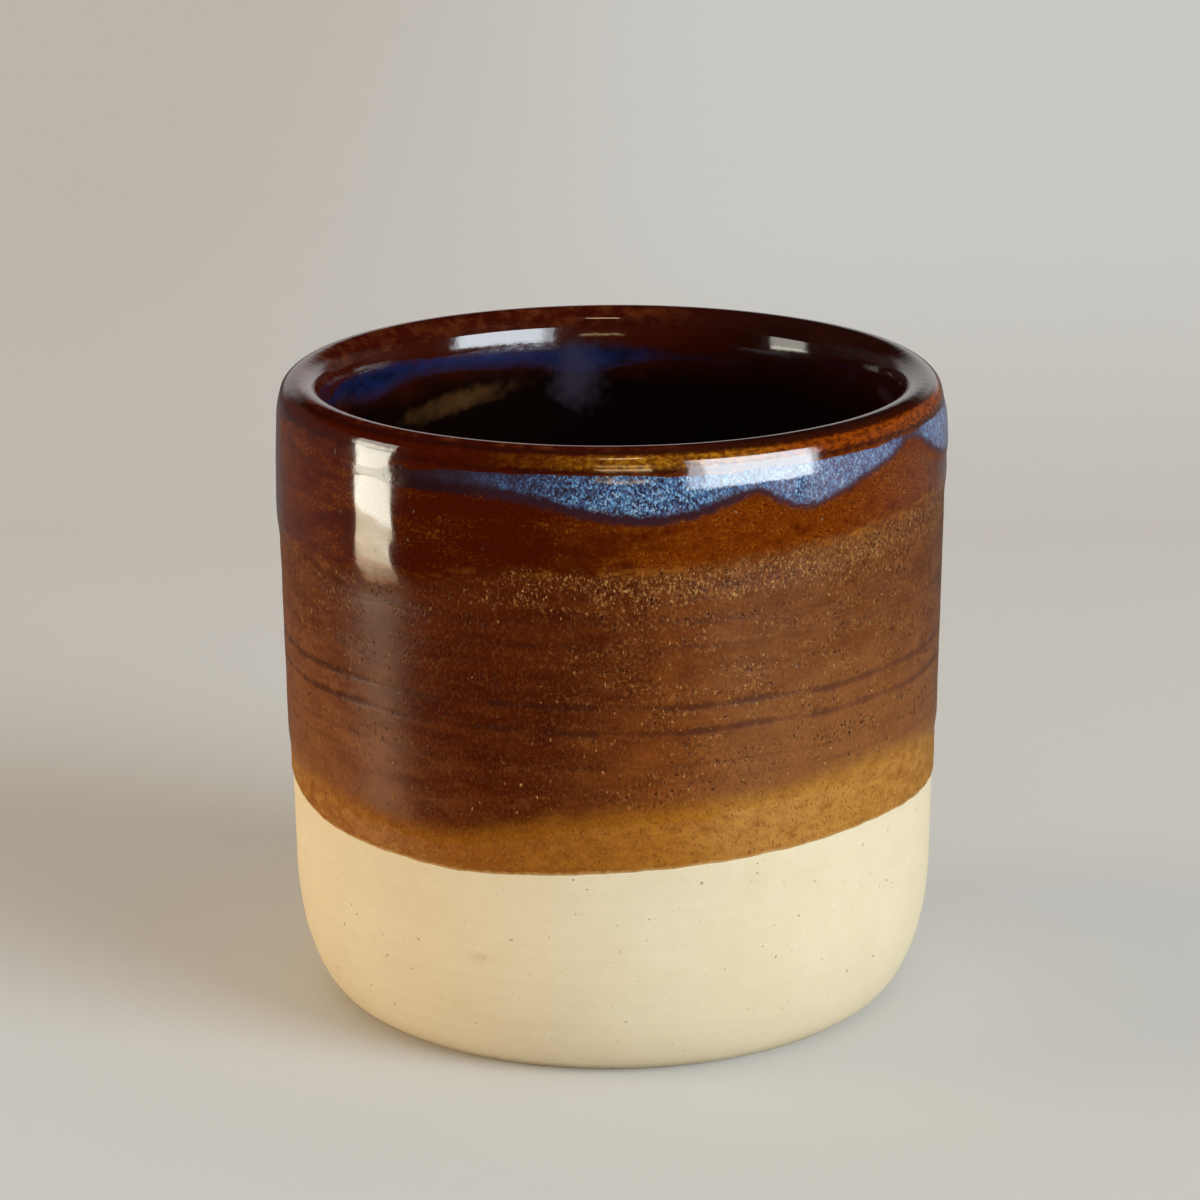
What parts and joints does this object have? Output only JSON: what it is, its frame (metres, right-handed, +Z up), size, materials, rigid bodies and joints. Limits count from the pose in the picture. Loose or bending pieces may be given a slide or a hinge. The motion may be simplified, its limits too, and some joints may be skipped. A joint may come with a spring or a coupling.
{
  "type": "espresso cup",
  "caption": "Handleless straight-sided stoneware espresso cup with a bare clay base, dipped brown glaze, blue run under a rounded lip and glazed inside.",
  "frame": {"origin": "centre of the flat foot, on the plane that the cup stands on", "axes": "+Z up along the axis of the pot, -Y towards the side with the longest blue run, +X to the right of it"},
  "size_m": [0.062, 0.062, 0.0587],
  "materials": {
    "bare_stoneware": "matte",
    "ochre_glaze": "satin",
    "brown_glaze": "satin",
    "gloss_brown_glaze": "glossy",
    "blue_glaze": "glossy",
    "amber_glaze": "glossy",
    "dark_liner_glaze": "glossy"
  },
  "bodies": {
    "root": {"clay_body": "bare_stoneware", "liner_glaze": "dark_liner_glaze", "first_dip_glaze": "ochre_glaze", "second_dip_glaze": "brown_glaze", "rim_dip_glaze": "gloss_brown_glaze", "outer_blue_band": "blue_glaze", "inner_blue_band": "blue_glaze", "lip_glaze": "amber_glaze"}
  },
  "joints": []
}
